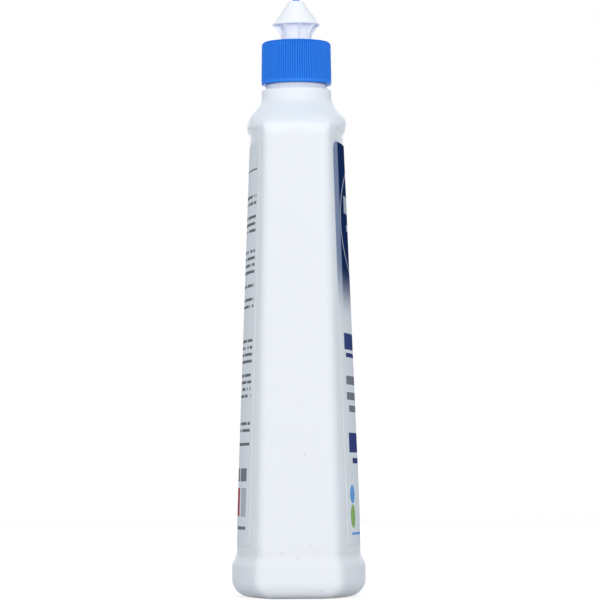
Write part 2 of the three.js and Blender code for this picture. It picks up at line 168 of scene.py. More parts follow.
def make_world():
    world = bpy.data.worlds.new("studio")
    scene.world = world
    world.use_nodes = True
    nodes = world.node_tree.nodes
    links = world.node_tree.links
    even = nodes["Background"]
    even.inputs["Color"].default_value = surround_colour
    even.inputs["Strength"].default_value = surround_light
    white = node(nodes, "ShaderNodeBackground", Color=(1, 1, 1, 1), Strength=1.0)
    mixed = nodes.new("ShaderNodeMixShader")
    links.new(background_rays(nodes, links), mixed.inputs[0])
    links.new(even.outputs[0], mixed.inputs[1])
    links.new(white.outputs[0], mixed.inputs[2])
    links.new(mixed.outputs[0], nodes["World Output"].inputs["Surface"])


def add_lamp(name, place, power, size, colour):
    data = bpy.data.lights.new(name, "AREA")
    data.energy = power
    data.color = colour
    data.shape = "DISK"
    data.size = size
    lamp = bpy.data.objects.new(name, data)
    aim = Vector(lamp_aim) - Vector(place)
    lamp.rotation_euler = aim.to_track_quat("-Z", "Y").to_euler()
    lamp.location = place
    scene.collection.objects.link(lamp)


make_floor()
make_world()
add_lamp("key_lamp", key_place, key_power, key_size, key_colour)
add_lamp("top_lamp", top_place, top_power, top_size, top_colour)
add_lamp("fill_lamp", fill_place, fill_power, key_size, fill_colour)


# Blown bottle
# One shell of milky polyethylene, blown in a two-part mould whose parting line runs up the middle
# of both narrow sides. The broad faces are slightly sunk between a base band and a shoulder crest,
# for the labels; the neck carries a collar, a ring and one and a half turns of screw thread.
panel_top = 214.2
body_top_width = 88.0
body_foot_width = 98.0
body_top_depth = 43.4
body_foot_depth = 59.6
foot_depth_limit = 57.5
foot_depth_blend = 1.0
side_top_flat = 20.2
side_foot_flat = 29.4
corner_top_depth = 30.8
corner_foot_depth = 39.4
corner_round = 3.8
band_height = 14.0
band_blend = 6.5
band_out = 2.15
band_out_side = 0.8
base_round = 8.0
standing_ring = 5.0
push_up = 1.6
push_up_round = 6.0
floor_wall = 1.2
wall = 1.0
band_corner_share = 0.6
inset_corner_share = 0.9
crest_heights = {-1: 219.11, 1: 217.48}
crest_outs = {-1: 1.71, 1: 1.59}
crest_rounds = {-1: 4.5, 1: 9.21}
crest_lower_rounds = {-1: 11.03, 1: 6.1}
shoulder_slope = 39.72
collar_height = 232.14
collar_fillet = 7.75
round_below_collar = 4.0
end_top = 211.6
arch_fall = 2.1
arch_reach = 9.0
end_corner_round = 6.0
end_slope = 19.0
end_fillet = 4.0
collar_radius = 16.2
collar_top = 234.95
collar_edge = 0.6
collar_inside_drop = 2.0
neck_ring_radius = 14.4
neck_ring_top = 237.35
neck_radius = 12.6
neck_bore = 11.3
neck_top = 254.1
lip_round = 0.5
thread_pitch = 4.2333
thread_turns = 1.5
thread_depth = 1.15
thread_root_width = 2.3
thread_crest_width = 1.0
thread_top_gap = 2.2
thread_slack = 0.35
thread_start = neck_top - thread_top_gap - thread_root_width / 2 - thread_turns * thread_pitch
thread_run_out = 7
seat_depth = 0.06
seat_half = 37.7
seat_step = 0.25
seat_foot = 23.1
seat_top = 208.2
broad_steps = 22
corner_steps = 9
flat_steps = 4


def mix(a, b, t):
    return a + (b - a) * t


def smooth(t):
    t = min(1.0, max(0.0, t))
    return t * t * (3 - 2 * t)


def spread(start, end, steps):
    return [mix(start, end, i / steps) for i in range(steps + 1)]


def taper(foot, top, z):
    return mix(foot, top, min(z, panel_top) / panel_top)


def band_share(z):
    return smooth((band_height + band_blend - z) / band_blend)


def body_half_depth(z):
    """The taper of the broad faces, which eases off towards the foot."""
    straight = mix(body_foot_depth, body_top_depth, z / panel_top) / 2
    limit = foot_depth_limit / 2
    near = max(foot_depth_blend - abs(straight - limit), 0) / foot_depth_blend
    return min(straight, limit) - near * near * foot_depth_blend / 4


def shoulder_half_depth(z, side):
    """Round crest, straight slope and fillet up to the collar, at the middle of a broad face."""
    crest = crest_heights[side]
    crest_half = body_half_depth(crest) + crest_outs[side]
    steep = math.radians(shoulder_slope)
    round_end = crest + crest_rounds[side] * math.sin(steep)
    fillet_start = collar_height - collar_fillet * math.sin(steep)
    round_half = crest_half - crest_rounds[side] * (1 - math.cos(steep))
    fillet_half = collar_radius + collar_fillet * (1 - math.cos(steep))
    if z >= collar_height:
        return collar_radius
    if z >= fillet_start:
        rise = collar_height - z
        return collar_radius + collar_fillet - math.sqrt(collar_fillet ** 2 - rise ** 2)
    if z >= round_end:
        return mix(round_half, fillet_half, (z - round_end) / (fillet_start - round_end))
    if z >= crest:
        return crest_half - crest_rounds[side] + math.sqrt(crest_rounds[side] ** 2 - (z - crest) ** 2)
    lower_round = crest_lower_rounds[side]
    fall = min(crest - z, lower_round)
    swell = crest_half - lower_round + math.sqrt(lower_round ** 2 - fall ** 2)
    return max(body_half_depth(z), swell)


def shoulder_half_width(z):
    """Round corner, gentle slope and fillet up to the collar, over a narrow side."""
    half = taper(body_foot_width, body_top_width, end_top) / 2
    slope = math.radians(end_slope)
    round_end = end_top + end_corner_round * math.cos(slope)
    round_half = half - end_corner_round * (1 - math.sin(slope))
    fillet_start = collar_height - end_fillet * math.cos(slope)
    fillet_half = collar_radius + end_fillet * (1 - math.sin(slope))
    if z >= collar_height:
        return collar_radius
    if z >= fillet_start:
        rise = collar_height - z
        return collar_radius + end_fillet - math.sqrt(end_fillet ** 2 - rise ** 2)
    if z >= round_end:
        return mix(round_half, fillet_half, (z - round_end) / (fillet_start - round_end))
    return half - end_corner_round + math.sqrt(end_corner_round ** 2 - (z - end_top) ** 2)


def base_inset(z):
    if z >= base_round:
        return 0.0
    return base_round - math.sqrt(base_round ** 2 - (base_round - z) ** 2)


def outline_at(z, side):
    """Half sizes of the bottle's outline at one height: width, depth, corner depth, flat, rounding."""
    inset = base_inset(z)
    band = band_share(z)
    depth = shoulder_half_depth(z, side) + band_out * band - inset
    width = taper(body_foot_width, body_top_width, z) / 2 + band_out_side * band
    if z > end_top:
        width = shoulder_half_width(z)
    swell = band_out * band * band_corner_share
    corner = taper(corner_foot_depth, corner_top_depth, z) / 2 + swell - inset * inset_corner_share
    flat = taper(side_foot_flat, side_top_flat, z) / 2 + swell - inset * band_corner_share
    rounding = smooth((z - panel_top) / (collar_height - round_below_collar - panel_top))
    return width - inset, depth, corner, flat, rounding


def shrunk(outline, by):
    width, depth, corner, flat, rounding = outline
    share = (depth - by) / depth
    return width - by, depth - by, corner * share, flat * share, rounding


def face_arc(outline):
    """Radius of the arched broad face, between its round corners."""
    width, depth, corner = outline[:3]
    start = width - corner_round
    sag = depth - corner
    return (start ** 2 + sag ** 2) / (2 * sag)


def face_depth(outline, x):
    """Half depth of the arched broad face, at one place across it."""
    depth = outline[1]
    arc = face_arc(outline)
    return depth - arc + math.sqrt(arc ** 2 - x ** 2)


def quarter(outline, sunk=0.0):
    """Points from the middle of a broad face round the corner to the middle of a narrow side."""
    width, depth, corner, flat, rounding = outline
    start = width - corner_round
    arc = face_arc(outline)
    scale = min(1.0, start / (body_top_width / 2 - corner_round))
    points = []
    for x in spread(0, seat_half * scale, broad_steps):
        points.append((x, face_depth(outline, x) - sunk))
    for x in spread((seat_half + seat_step) * scale, start, 3)[:-1]:
        points.append((x, face_depth(outline, x)))
    slope = start / math.sqrt(arc ** 2 - start ** 2)
    control = (width, corner - corner_round * slope)
    for t in spread(0, 1, corner_steps):
        x = (1 - t) ** 2 * start + 2 * t * (1 - t) * control[0] + t ** 2 * width
        y = (1 - t) ** 2 * corner + 2 * t * (1 - t) * control[1] + t ** 2 * flat
        points.append((x, y))
    for y in spread(flat, 0, flat_steps)[1:]:
        points.append((width, y))
    rounded = []
    for i, (x, y) in enumerate(points):
        angle = math.pi / 2 * (1 - i / (len(points) - 1))
        oval_x = width * math.cos(angle)
        oval_y = depth * math.sin(angle)
        rounded.append((mix(x, oval_x, rounding), mix(y, oval_y, rounding)))
    return rounded


def ring_at(z, outlines, sunk=0.0):
    """A whole ring, anticlockwise from above, starting at the middle of the front."""
    front = quarter(outlines[-1], sunk)
    back = quarter(outlines[1], sunk)
    right = [(x, -y, z) for x, y in front[:-1]] + [(x, y, z) for x, y in reversed(back[1:])]
    left = [(-x, y, z) for x, y in back[:-1]] + [(-x, -y, z) for x, y in reversed(front[1:])]
    return right + left


def body_ring(z, by=0.0, sunk=0.0, height=None):
    """A ring of the body's outline at z, drawn in by a wall, placed at a height of its own.
    The top edge of the narrow sides is arched: it falls from its middle to its corners."""
    outlines = {side: shrunk(outline_at(z, side), by) for side in (-1, 1)}
    ring = ring_at(z if height is None else height, outlines, sunk)
    width, flat = outlines[1][0], outlines[1][3]
    fade = arch_fall * (1 - smooth(abs(z - end_top) / arch_reach))
    lowered = []
    for x, y, level in ring:
        on_side = smooth((abs(x) - width + corner_round) / corner_round)
        lowered.append((x, y, level - fade * on_side * smooth(abs(y) / flat)))
    return lowered


def circle_ring(z, radius):
    outlines = {side: (radius, radius, radius / 2, radius / 4, 1.0) for side in (-1, 1)}
    return ring_at(z, outlines)


def skin(rings, first, last):
    """Points and faces of rings joined one to the next and closed by a fan at each end."""
    count = len(rings[0])
    points = [first] + [point for ring in rings for point in ring] + [last]
    faces = []
    for i in range(count):
        after = (i + 1) % count
        faces.append((0, 1 + after, 1 + i))
        base = 1 + (len(rings) - 1) * count
        faces.append((len(points) - 1, base + i, base + after))
    for row in range(len(rings) - 1):
        low = 1 + row * count
        high = low + count
        for i in range(count):
            after = (i + 1) % count
            faces.append((low + i, low + after, high + after, high + i))
    return points, faces


def outer_skin():
    rings = [body_ring(0, standing_ring + push_up_round, height=push_up - 0.3)]
    rings += [body_ring(0, standing_ring + by, height=0.25 * by) for by in (1.2, 0.5)]
    rings += [body_ring(0, by) for by in (standing_ring, standing_ring - 0.4, 0.3, 0)]
    for angle in spread(7, 90, 13):
        rings.append(body_ring(base_round * (1 - math.cos(math.radians(angle)))))
    rings += [body_ring(z) for z in spread(base_round + 1, band_height + band_blend, 15)]
    rings += [body_ring(z) for z in spread(band_height + band_blend + 0.6, seat_foot - seat_step, 4)]
    rings += [body_ring(z, sunk=seat_depth) for z in spread(seat_foot, seat_top, 46)]
    rings += [body_ring(z) for z in spread(seat_top + seat_step, panel_top - 1.6, 3)]
    rings += [body_ring(z) for z in spread(panel_top - 1.2, collar_height, 44)]
    for radius, z in neck_outline():
        rings.append(circle_ring(z, radius))
    return rings


def neck_outline():
    outline = [(collar_radius, collar_top - collar_edge)]
    for angle in (30, 60, 90):
        lean = math.radians(angle)
        outline.append((collar_radius - collar_edge * (1 - math.cos(lean)),
                        collar_top - collar_edge * (1 - math.sin(lean))))
    outline += [(neck_ring_radius + 0.2, collar_top), (neck_ring_radius, collar_top + 0.15)]
    outline += [(neck_ring_radius, neck_ring_top - 0.2), (neck_ring_radius - 0.2, neck_ring_top)]
    outline += [(neck_radius + 0.3, neck_ring_top), (neck_radius, neck_ring_top + 0.3)]
    outline += [(neck_radius, z) for z in spread(neck_ring_top + 1, neck_top - lip_round, 6)]
    outline += [(neck_radius - lip_round * 0.3, neck_top - lip_round * 0.3)]
    outline += [(neck_radius - lip_round, neck_top), (neck_bore + 0.2, neck_top)]
    outline += [(neck_bore, neck_top - 0.2)]
    return outline


def inner_skin():
    rings = [circle_ring(z, neck_bore) for z in spread(neck_top - 1, collar_top + wall, 4)]
    rings.append(circle_ring(collar_top - collar_inside_drop, collar_radius - wall))
    for z in spread(collar_height, crest_heights[-1], 10):
        rings.append(body_ring(z, wall, height=z - wall))
    rings += [body_ring(z, wall + seat_depth) for z in spread(panel_top - wall - 1, band_height, 20)]
    for angle in (80, 60, 40, 20):
        z = base_round * (1 - math.cos(math.radians(angle)))
        rings.append(body_ring(z, wall, height=z + push_up + floor_wall))
    return rings


def ring_middle(ring):
    return tuple(sum(point[axis] for point in ring) / len(ring) for axis in range(3))


def thread_ridge(radius, side, start, steps_per_turn=60):
    """A screw ridge of rounded section on a wall, outwards (side 1) or inwards (side -1)."""
    steps = round(thread_turns * steps_per_turn)
    rings = []
    section = [(-0.5, -0.5), (-0.35, 0.45), (-0.2, 0.85), (0, 1), (0.2, 0.85), (0.35, 0.45), (0.5, -0.5)]
    for i in range(steps + 1):
        angle = 2 * math.pi * i / steps_per_turn
        grown = mix(0.1, 1, smooth(min(i, steps - i) / (steps_per_turn / thread_run_out)))
        middle = start + thread_pitch * i / steps_per_turn
        ring = []
        for across, up in section:
            rise = up * thread_depth * (grown if up > 0 else 1)
            reach = radius + side * rise
            z = middle + across * thread_root_width
            ring.append((reach * math.cos(angle), reach * math.sin(angle), z))
        rings.append(ring if side < 0 else ring[::-1])
    return skin(rings, ring_middle(rings[0]), ring_middle(rings[-1]))


def joined(parts):
    """Several lists of points and faces as one."""
    points = []
    faces = []
    for part_points, part_faces in parts:
        base = len(points)
        points += part_points
        faces += [tuple(base + i for i in face) for face in part_faces]
    return points, faces


milky_colour = (0.83, 0.872, 0.912, 1)
milky_shade = (0.79, 0.835, 0.88, 1)
parting_line_width = 0.00022
speck_size = 0.00024
speck_colour = (0.42, 0.43, 0.45, 1)
side_specks = ((-0.0028, 0.0651), (0.0002, 0.0186), (-0.0100, 0.0040),
               (0.0077, 0.0206), (-0.0050, 0.0244), (0.0075, 0.2172))
cloud_share = 0.6
line_height = 0.6
ripple_height = 0.35
grain_height = 0.05


def place_axes(nodes, links):
    """The object's own coordinates, as one vector and as three numbers."""
    place = nodes.new("ShaderNodeTexCoord").outputs["Object"]
    axes = nodes.new("ShaderNodeSeparateXYZ")
    links.new(place, axes.inputs[0])
    return place, axes


def noise(nodes, links, place, scale, detail, roughness=0.5):
    made = node(nodes, "ShaderNodeTexNoise", Scale=scale, Detail=detail, Roughness=roughness)
    links.new(place, made.inputs["Vector"])
    return made.outputs[0]


def blend(nodes, links, share, first, second):
    """A colour between two others, each of them fixed or from a socket."""
    made = nodes.new("ShaderNodeMix")
    made.data_type = "RGBA"
    links.new(share, made.inputs[0])
    for place, colour in ((6, first), (7, second)):
        if isinstance(colour, tuple):
            made.inputs[place].default_value = colour
        else:
            links.new(colour, made.inputs[place])
    return made.outputs[2]


def bumped(nodes, links, height, strength, distance):
    made = node(nodes, "ShaderNodeBump", Strength=strength, Distance=distance)
    links.new(height, made.inputs["Height"])
    return made.outputs[0]


def squared_sum(nodes, links, first, second):
    squares = [math_node(nodes, links, "MULTIPLY", value, value) for value in (first, second)]
    return math_node(nodes, links, "ADD", *squares)


def milky_plastic():
    made, nodes, links, shader = new_material("milky_polyethylene")
    place, axes = place_axes(nodes, links)
    cloud = math_node(nodes, links, "MULTIPLY", noise(nodes, links, place, 26.0, 3.0), cloud_share)
    tone = blend(nodes, links, cloud, milky_colour, milky_shade)
    speckled = blend(nodes, links, speck_mask(nodes, links, axes), tone, speck_colour)
    links.new(speckled, shader.inputs["Base Color"])
    shader.inputs["Roughness"].default_value = 0.42
    shader.inputs["IOR"].default_value = 1.5
    shader.inputs["Specular IOR Level"].default_value = 0.06
    shader.inputs["Subsurface Weight"].default_value = 0.35
    shader.inputs["Subsurface Radius"].default_value = (1.0, 1.05, 1.15)
    shader.inputs["Subsurface Scale"].default_value = 0.0025
    links.new(moulded_bump(nodes, links, place, axes), shader.inputs["Normal"])
    return made


def speck_mask(nodes, links, axes):
    """Small dark specks of dirt on the narrow side that the photograph shows."""
    mask = None
    on_side = math_node(nodes, links, "LESS_THAN", axes.outputs[0], 0.0)
    for y, z in side_specks:
        off_y = math_node(nodes, links, "SUBTRACT", axes.outputs[1], y)
        off_z = math_node(nodes, links, "SUBTRACT", axes.outputs[2], z)
        far = math_node(nodes, links, "SQRT", squared_sum(nodes, links, off_y, off_z))
        spot = math_node(nodes, links, "LESS_THAN", far, speck_size)
        mask = spot if mask is None else math_node(nodes, links, "ADD", mask, spot, clamp=True)
    return math_node(nodes, links, "MULTIPLY", mask, on_side)


def moulded_bump(nodes, links, place, axes):
    """The parting line up both narrow sides, and the faint ripple of a blown surface."""
    off = math_node(nodes, links, "ABSOLUTE", axes.outputs[1])
    line = math_node(nodes, links, "SUBTRACT", 1.0,
                     math_node(nodes, links, "DIVIDE", off, parting_line_width), clamp=True)
    ripple = noise(nodes, links, place, 90.0, 2.0, 0.4)
    grain = noise(nodes, links, place, 1400.0, 2.0)
    height = math_node(nodes, links, "MULTIPLY", line, line_height)
    for layer, share in ((ripple, ripple_height), (grain, grain_height)):
        height = math_node(nodes, links, "ADD", height, math_node(nodes, links, "MULTIPLY", layer, share))
    return bumped(nodes, links, height, 0.35, 0.0001)


def make_bottle():
    shell = skin(outer_skin() + inner_skin(), (0, 0, push_up), (0, 0, push_up + floor_wall))
    bottle = add_mesh("blown_bottle", *joined([shell, thread_ridge(neck_radius, 1, thread_start)]))
    bottle.data.materials.append(milky_plastic())
    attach(bottle, "bottle_body")
    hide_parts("bottle")


make_bottle()


# Labels
# Two thin clear films with print, stuck in the seats of the broad faces, with round corners. The
# front one is navy at the top and fades to clear lower down; both carry plain bars and fields.
label_half = 37.5
label_foot = 23.3
label_top = 208.0
label_corner = 5.0
label_film = 0.05
label_proud = 0.03


def label_half_width(z):
    into = max(0.0, label_corner - min(z - label_foot, label_top - z))
    return label_half - label_corner + math.sqrt(label_corner ** 2 - into ** 2)


def label_mesh(side):
    rises = [label_corner * (1 - math.cos(math.radians(angle))) for angle in spread(0, 90, 9)]
    heights = [label_foot + rise for rise in rises]
    heights += spread(label_foot + label_corner, label_top - label_corner, 44)[1:-1]
    heights += [label_top - rise for rise in reversed(rises)]
    rings = []
    for z in heights:
        half = label_half_width(z)
        outline = outline_at(z, side)
        row = [(x, face_depth(outline, x) - seat_depth + label_proud) for x in spread(-half, half, 48)]
        outer = [(x, side * (y + label_film), z) for x, y in row]
        inner = [(x, side * y, z) for x, y in row]
        rings.append(outer + inner[::-1] if side < 0 else inner + outer[::-1])
    ends = [(0, side * face_depth(outline_at(z, side), 0), z) for z in (label_foot, label_top)]
    return skin(rings, *ends)


def ranged(nodes, links, value, start, end, to=(0.0, 1.0), eased=False):
    """A number that changes evenly while a coordinate runs from start to end."""
    made = node(nodes, "ShaderNodeMapRange", From_Min=start, From_Max=end, To_Min=to[0], To_Max=to[1])
    if eased:
        made.interpolation_type = "SMOOTHSTEP"
    links.new(value, made.inputs["Value"])
    return made.outputs[0]


def span_mask(nodes, links, value, low, high, soft=0.00012):
    """1 between two places along a coordinate, with a fine soft edge."""
    rise = ranged(nodes, links, value, low - soft, low + soft)
    fall = ranged(nodes, links, value, high + soft, high - soft)
    return math_node(nodes, links, "MULTIPLY", rise, fall)


def block_mask(nodes, links, axes, box):
    """1 inside a plain block of print, given as left, right, foot and top in millimetres."""
    left, right, foot, top = box
    across = span_mask(nodes, links, axes.outputs[0], left * MM, right * MM)
    upward = span_mask(nodes, links, axes.outputs[2], foot * MM, top * MM)
    return math_node(nodes, links, "MULTIPLY", across, upward)


def lay_colour(nodes, links, below, mask, colour):
    """Print of one colour laid over what is below it."""
    return blend(nodes, links, mask, below, (*colour, 1))


def clear_film(nodes):
    base = nodes.new("ShaderNodeRGB")
    base.outputs[0].default_value = (*film_clear, 1)
    return base.outputs[0]


def lay_bar(nodes, links, axes, below, foot, top, reach, colour):
    """A plain bar across the label's middle."""
    return lay_colour(nodes, links, below, block_mask(nodes, links, axes, (-reach, reach, foot, top)), colour)


film_clear = (0.80, 0.835, 0.86)
navy = (0.010, 0.028, 0.105)
sky_blue = (0.24, 0.30, 0.44)
bar_navy = (0.05, 0.07, 0.22)
bar_grey = (0.22, 0.23, 0.26)
leaf_green = (0.30, 0.50, 0.16)
water_blue = (0.16, 0.38, 0.75)
silver = (0.50, 0.52, 0.56)
field_foot = 124.0
field_full = 156.0
field_inside = 4.0
edge_strip = 7.0
strip_blend = 1.5
badge_middle = (0, 172)
badge_reach = (29.5, 24)
badge_inside = (28.3, 22.8)
badge_bars = ((176, 184, 20, silver), (168, 171, 14, silver))
front_bars = (
    (113, 120.5, 31, bar_navy), (109.5, 111.5, 29, bar_navy),
    (97, 101, 30, bar_grey), (90, 93.5, 30, bar_grey), (84.5, 87.5, 27, bar_grey),
    (66, 75, 29.5, bar_navy), (61, 63.5, 24, bar_navy), (28.5, 29.6, 30, water_blue))
foot_ovals = (
    ((-27, 37), (4.2, 5.4), leaf_green), ((-27, 47), (4.2, 4.2), water_blue),
    ((27, 37), (4.2, 5.4), leaf_green))


def front_print(nodes, links, axes):
    """Navy field that fades downwards, a pale edge strip each side, a plain oval and plain bars."""
    up = axes.outputs[2]
    fade = ranged(nodes, links, up, field_foot * MM, field_full * MM, eased=True)
    colour = lay_colour(nodes, links, clear_film(nodes), fade, sky_blue)
    off = math_node(nodes, links, "ABSOLUTE", axes.outputs[0])
    strip = label_half - edge_strip
    inside = ranged(nodes, links, off, strip * MM, (strip - strip_blend) * MM)
    start = field_foot + field_inside
    end = field_full - field_inside
    deep = ranged(nodes, links, up, start * MM, end * MM, eased=True)
    colour = lay_colour(nodes, links, colour, math_node(nodes, links, "MULTIPLY", inside, deep), navy)
    colour = oval(nodes, links, axes, colour, badge_middle, badge_reach, silver)
    colour = oval(nodes, links, axes, colour, badge_middle, badge_inside, navy)
    for bar in badge_bars + front_bars:
        colour = lay_bar(nodes, links, axes, colour, *bar)
    for middle, reach, ink in foot_ovals:
        colour = oval(nodes, links, axes, colour, middle, reach, ink)
    return colour


oval_edge = 0.02


def oval(nodes, links, axes, below, centre, reach, colour):
    """A plain filled oval of one colour."""
    shares = []
    for axis, middle, half in ((0, centre[0], reach[0]), (2, centre[1], reach[1])):
        off = math_node(nodes, links, "SUBTRACT", axes.outputs[axis], middle * MM)
        shares.append(math_node(nodes, links, "DIVIDE", off, half * MM))
    inside = ranged(nodes, links, squared_sum(nodes, links, *shares), 1 + oval_edge, 1 - oval_edge)
    return lay_colour(nodes, links, below, inside, colour)


back_line_pitch = 3.15
back_line_share = 0.42
back_text_foot = 62.0
back_text_top = 196.0
back_margin = 33.0
back_line_least = 21.0
back_line_varies = 12.0
back_blank_share = 0.32
back_word_pitch = 1.6
back_gap_share = 0.16
small_print_grey = (0.19, 0.195, 0.21)
plain_red = (0.45, 0.10, 0.13)
plain_blue = (0.10, 0.13, 0.35)
back_blocks = (
    ((-30, -17, 53, 59), bar_grey), ((-14, 4, 53, 59), bar_grey), ((8, 30, 53, 59), silver),
    ((-30, -20, 37, 50), silver), ((-16, -3, 37, 50), plain_red), ((-3, 1, 43.5, 50), plain_blue),
    ((6, 30, 37, 50), silver), ((-30, 20, 31, 32.5), bar_grey))


def back_print(nodes, links, axes):
    """Rows of plain grey bars like small print, of uneven length, with plain blocks near the foot."""
    rows = math_node(nodes, links, "DIVIDE", axes.outputs[2], back_line_pitch * MM)
    within = math_node(nodes, links, "FRACT", rows)
    ink = math_node(nodes, links, "LESS_THAN", within, back_line_share)
    number = math_node(nodes, links, "FLOOR", rows)
    chance = nodes.new("ShaderNodeTexWhiteNoise")
    chance.noise_dimensions = "1D"
    links.new(number, chance.inputs["W"])
    longer = math_node(nodes, links, "MULTIPLY", chance.outputs[0], back_line_varies * MM)
    reach = math_node(nodes, links, "ADD", longer, back_line_least * MM)
    short = math_node(nodes, links, "LESS_THAN", axes.outputs[0], reach)
    printed = math_node(nodes, links, "GREATER_THAN", chance.outputs[0], back_blank_share)
    area = block_mask(nodes, links, axes, (-back_margin, back_margin, back_text_foot, back_text_top))
    words = nodes.new("ShaderNodeTexWhiteNoise")
    words.noise_dimensions = "2D"
    cell = nodes.new("ShaderNodeCombineXYZ")
    columns = math_node(nodes, links, "DIVIDE", axes.outputs[0], back_word_pitch * MM)
    links.new(math_node(nodes, links, "FLOOR", columns), cell.inputs[0])
    links.new(number, cell.inputs[1])
    links.new(cell.outputs[0], words.inputs["Vector"])
    gaps = math_node(nodes, links, "GREATER_THAN", words.outputs[0], back_gap_share)
    for part in (short, printed, area, gaps):
        ink = math_node(nodes, links, "MULTIPLY", ink, part)
    colour = lay_colour(nodes, links, clear_film(nodes), ink, small_print_grey)
    for box, shade in back_blocks:
        colour = lay_colour(nodes, links, colour, block_mask(nodes, links, axes, box), shade)
    return colour


def label_material(name, print_colour):
    made, nodes, links, shader = new_material(name)
    place, axes = place_axes(nodes, links)
    links.new(print_colour(nodes, links, axes), shader.inputs["Base Color"])
    shader.inputs["Roughness"].default_value = 0.36
    shader.inputs["Specular IOR Level"].default_value = 0.0
    ripple = noise(nodes, links, place, 60.0, 2.0)
    links.new(bumped(nodes, links, ripple, 0.1, 0.0001), shader.inputs["Normal"])
    return made


def make_label(name, side, cad_node, print_colour):
    label = add_mesh(name, *label_mesh(side))
    label.data.materials.append(label_material(name + "_print", print_colour))
    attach(label, "bottle_body")
    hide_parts(cad_node)


make_label("front_label_film", -1, "front_label", front_print)
make_label("back_label_film", 1, "back_label", back_print)


# Cleaning liquid
# Pale, water-thin cleaner that fills the bottle to its level. The milky wall hides it, so the
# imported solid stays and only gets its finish.
cleaner_colour = (0.80, 0.86, 0.89, 1)
cleaner_light = (0.84, 0.89, 0.91, 1)


def make_liquid():
    made, nodes, links, shader = new_material("pale_cleaner")
    place, axes = place_axes(nodes, links)
    cloud = noise(nodes, links, place, 12.0, 1.0)
    links.new(blend(nodes, links, cloud, cleaner_colour, cleaner_light), shader.inputs["Base Color"])
    shader.inputs["Roughness"].default_value = 0.06
    shader.inputs["IOR"].default_value = 1.34
    shader.inputs["Transmission Weight"].default_value = 0.6
    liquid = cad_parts["cleaning_liquid"]
    liquid.data.materials.clear()
    liquid.data.materials.append(made)


make_liquid()


# Liner
# A ring of white foam, stamped from sheet and pressed into the cap's top, which seals on the
# bottle's lip when the cap is screwed down.
liner_gap = 0.3
liner_thickness = 1.0
liner_width = 4.4
liner_edge = 0.15
cap_bore = neck_radius + thread_depth + thread_slack
foam_shade = (0.72, 0.72, 0.70, 1)
foam_white = (0.88, 0.88, 0.86, 1)


def turned(outline, steps=96):
    """Points and faces of a closed outline of radius and height pairs turned about the axis."""
    points = []
    for i in range(steps):
        angle = 2 * math.pi * i / steps
        points += [(radius * math.cos(angle), radius * math.sin(angle), z) for radius, z in outline]
    count = len(outline)
    faces = []
    for i in range(steps):
        here = i * count
        there = (i + 1) % steps * count
        for k in range(count):
            after = (k + 1) % count
            faces.append((here + k, there + k, there + after, here + after))
    return points, faces


def make_liner():
    outer = cap_bore - liner_gap
    inner = outer - liner_width
    foot = neck_top + liner_gap
    top = foot + liner_thickness
    edge = liner_edge
    liner = add_mesh("foam_liner", *turned([
        (inner + edge, foot), (outer - edge, foot), (outer, foot + edge), (outer, top - edge),
        (outer - edge, top), (inner + edge, top), (inner, top - edge), (inner, foot + edge)]))
    made, nodes, links, shader = new_material("white_foam")
    place, axes = place_axes(nodes, links)
    cells = node(nodes, "ShaderNodeTexVoronoi", Scale=1800.0)
    links.new(place, cells.inputs["Vector"])
    links.new(blend(nodes, links, cells.outputs[0], foam_shade, foam_white), shader.inputs["Base Color"])
    links.new(bumped(nodes, links, cells.outputs[0], 0.5, 0.00005), shader.inputs["Normal"])
    shader.inputs["Roughness"].default_value = 0.9
    liner.data.materials.append(made)
    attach(liner, "liner_body")
    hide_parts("liner")


make_liner()


# Screw cap
# One moulded piece of blue polypropylene: a skirt with fine upright grip ribs above a plain foot
# band, a thread inside, and on top the tube that carries the spout, with the sealing post on three
# spokes in it.
cap_foot_gap = 0.15
cap_top_wall = 1.8
cap_foot = neck_ring_top + cap_foot_gap
cap_ceiling = neck_top + 2 * liner_gap + liner_thickness
cap_top = cap_ceiling + cap_top_wall
cap_foot_radius = 16.35
cap_top_radius = 16.05
cap_edge_round = 1.7
rib_count = 92
rib_depth = 0.4
rib_points = 8
rib_narrowing = 1.6
rib_early_end = 0.15
plain_band = 1.5
foot_edge = 0.25
inside_edge = 0.3
clear_of_thread = 6.0
shading_rings = (13.0, 9.0)
tube_radius = 4.2
tube_bore = 3.2
tube_height = 9.4
bead_height = 1.2
bead_out = 0.45
post_radius = 1.6
post_round = 1.2
post_above = 1.6
axis_gap = 0.01
spoke_count = 3
spoke_width = 1.1
spoke_height = 1.6
spoke_rise = 2.4
spoke_start = 0.2
spoke_edge = 0.2
spout_height = 19.0
spout_gap = 0.3
spout_foot = cap_top + spout_gap
spout_top = spout_foot + spout_height


def rib_wave(share):
    """Depth of the groove across one rib: a rounded ridge between narrow grooves."""
    return (0.5 - 0.5 * math.cos(2 * math.pi * share)) ** rib_narrowing


def ribbed_ring(z, radius, depth):
    ring = []
    for i in range(rib_count * rib_points):
        angle = 2 * math.pi * i / (rib_count * rib_points)
        reach = radius - depth * rib_wave((i % rib_points) / rib_points)
        ring.append((reach * math.cos(angle), reach * math.sin(angle), z))
    return ring


def plain_ring(z, radius):
    return ribbed_ring(z, radius, 0.0)


def cap_radius(z):
    return mix(cap_foot_radius, cap_top_radius, (z - cap_foot) / (cap_top - cap_foot))


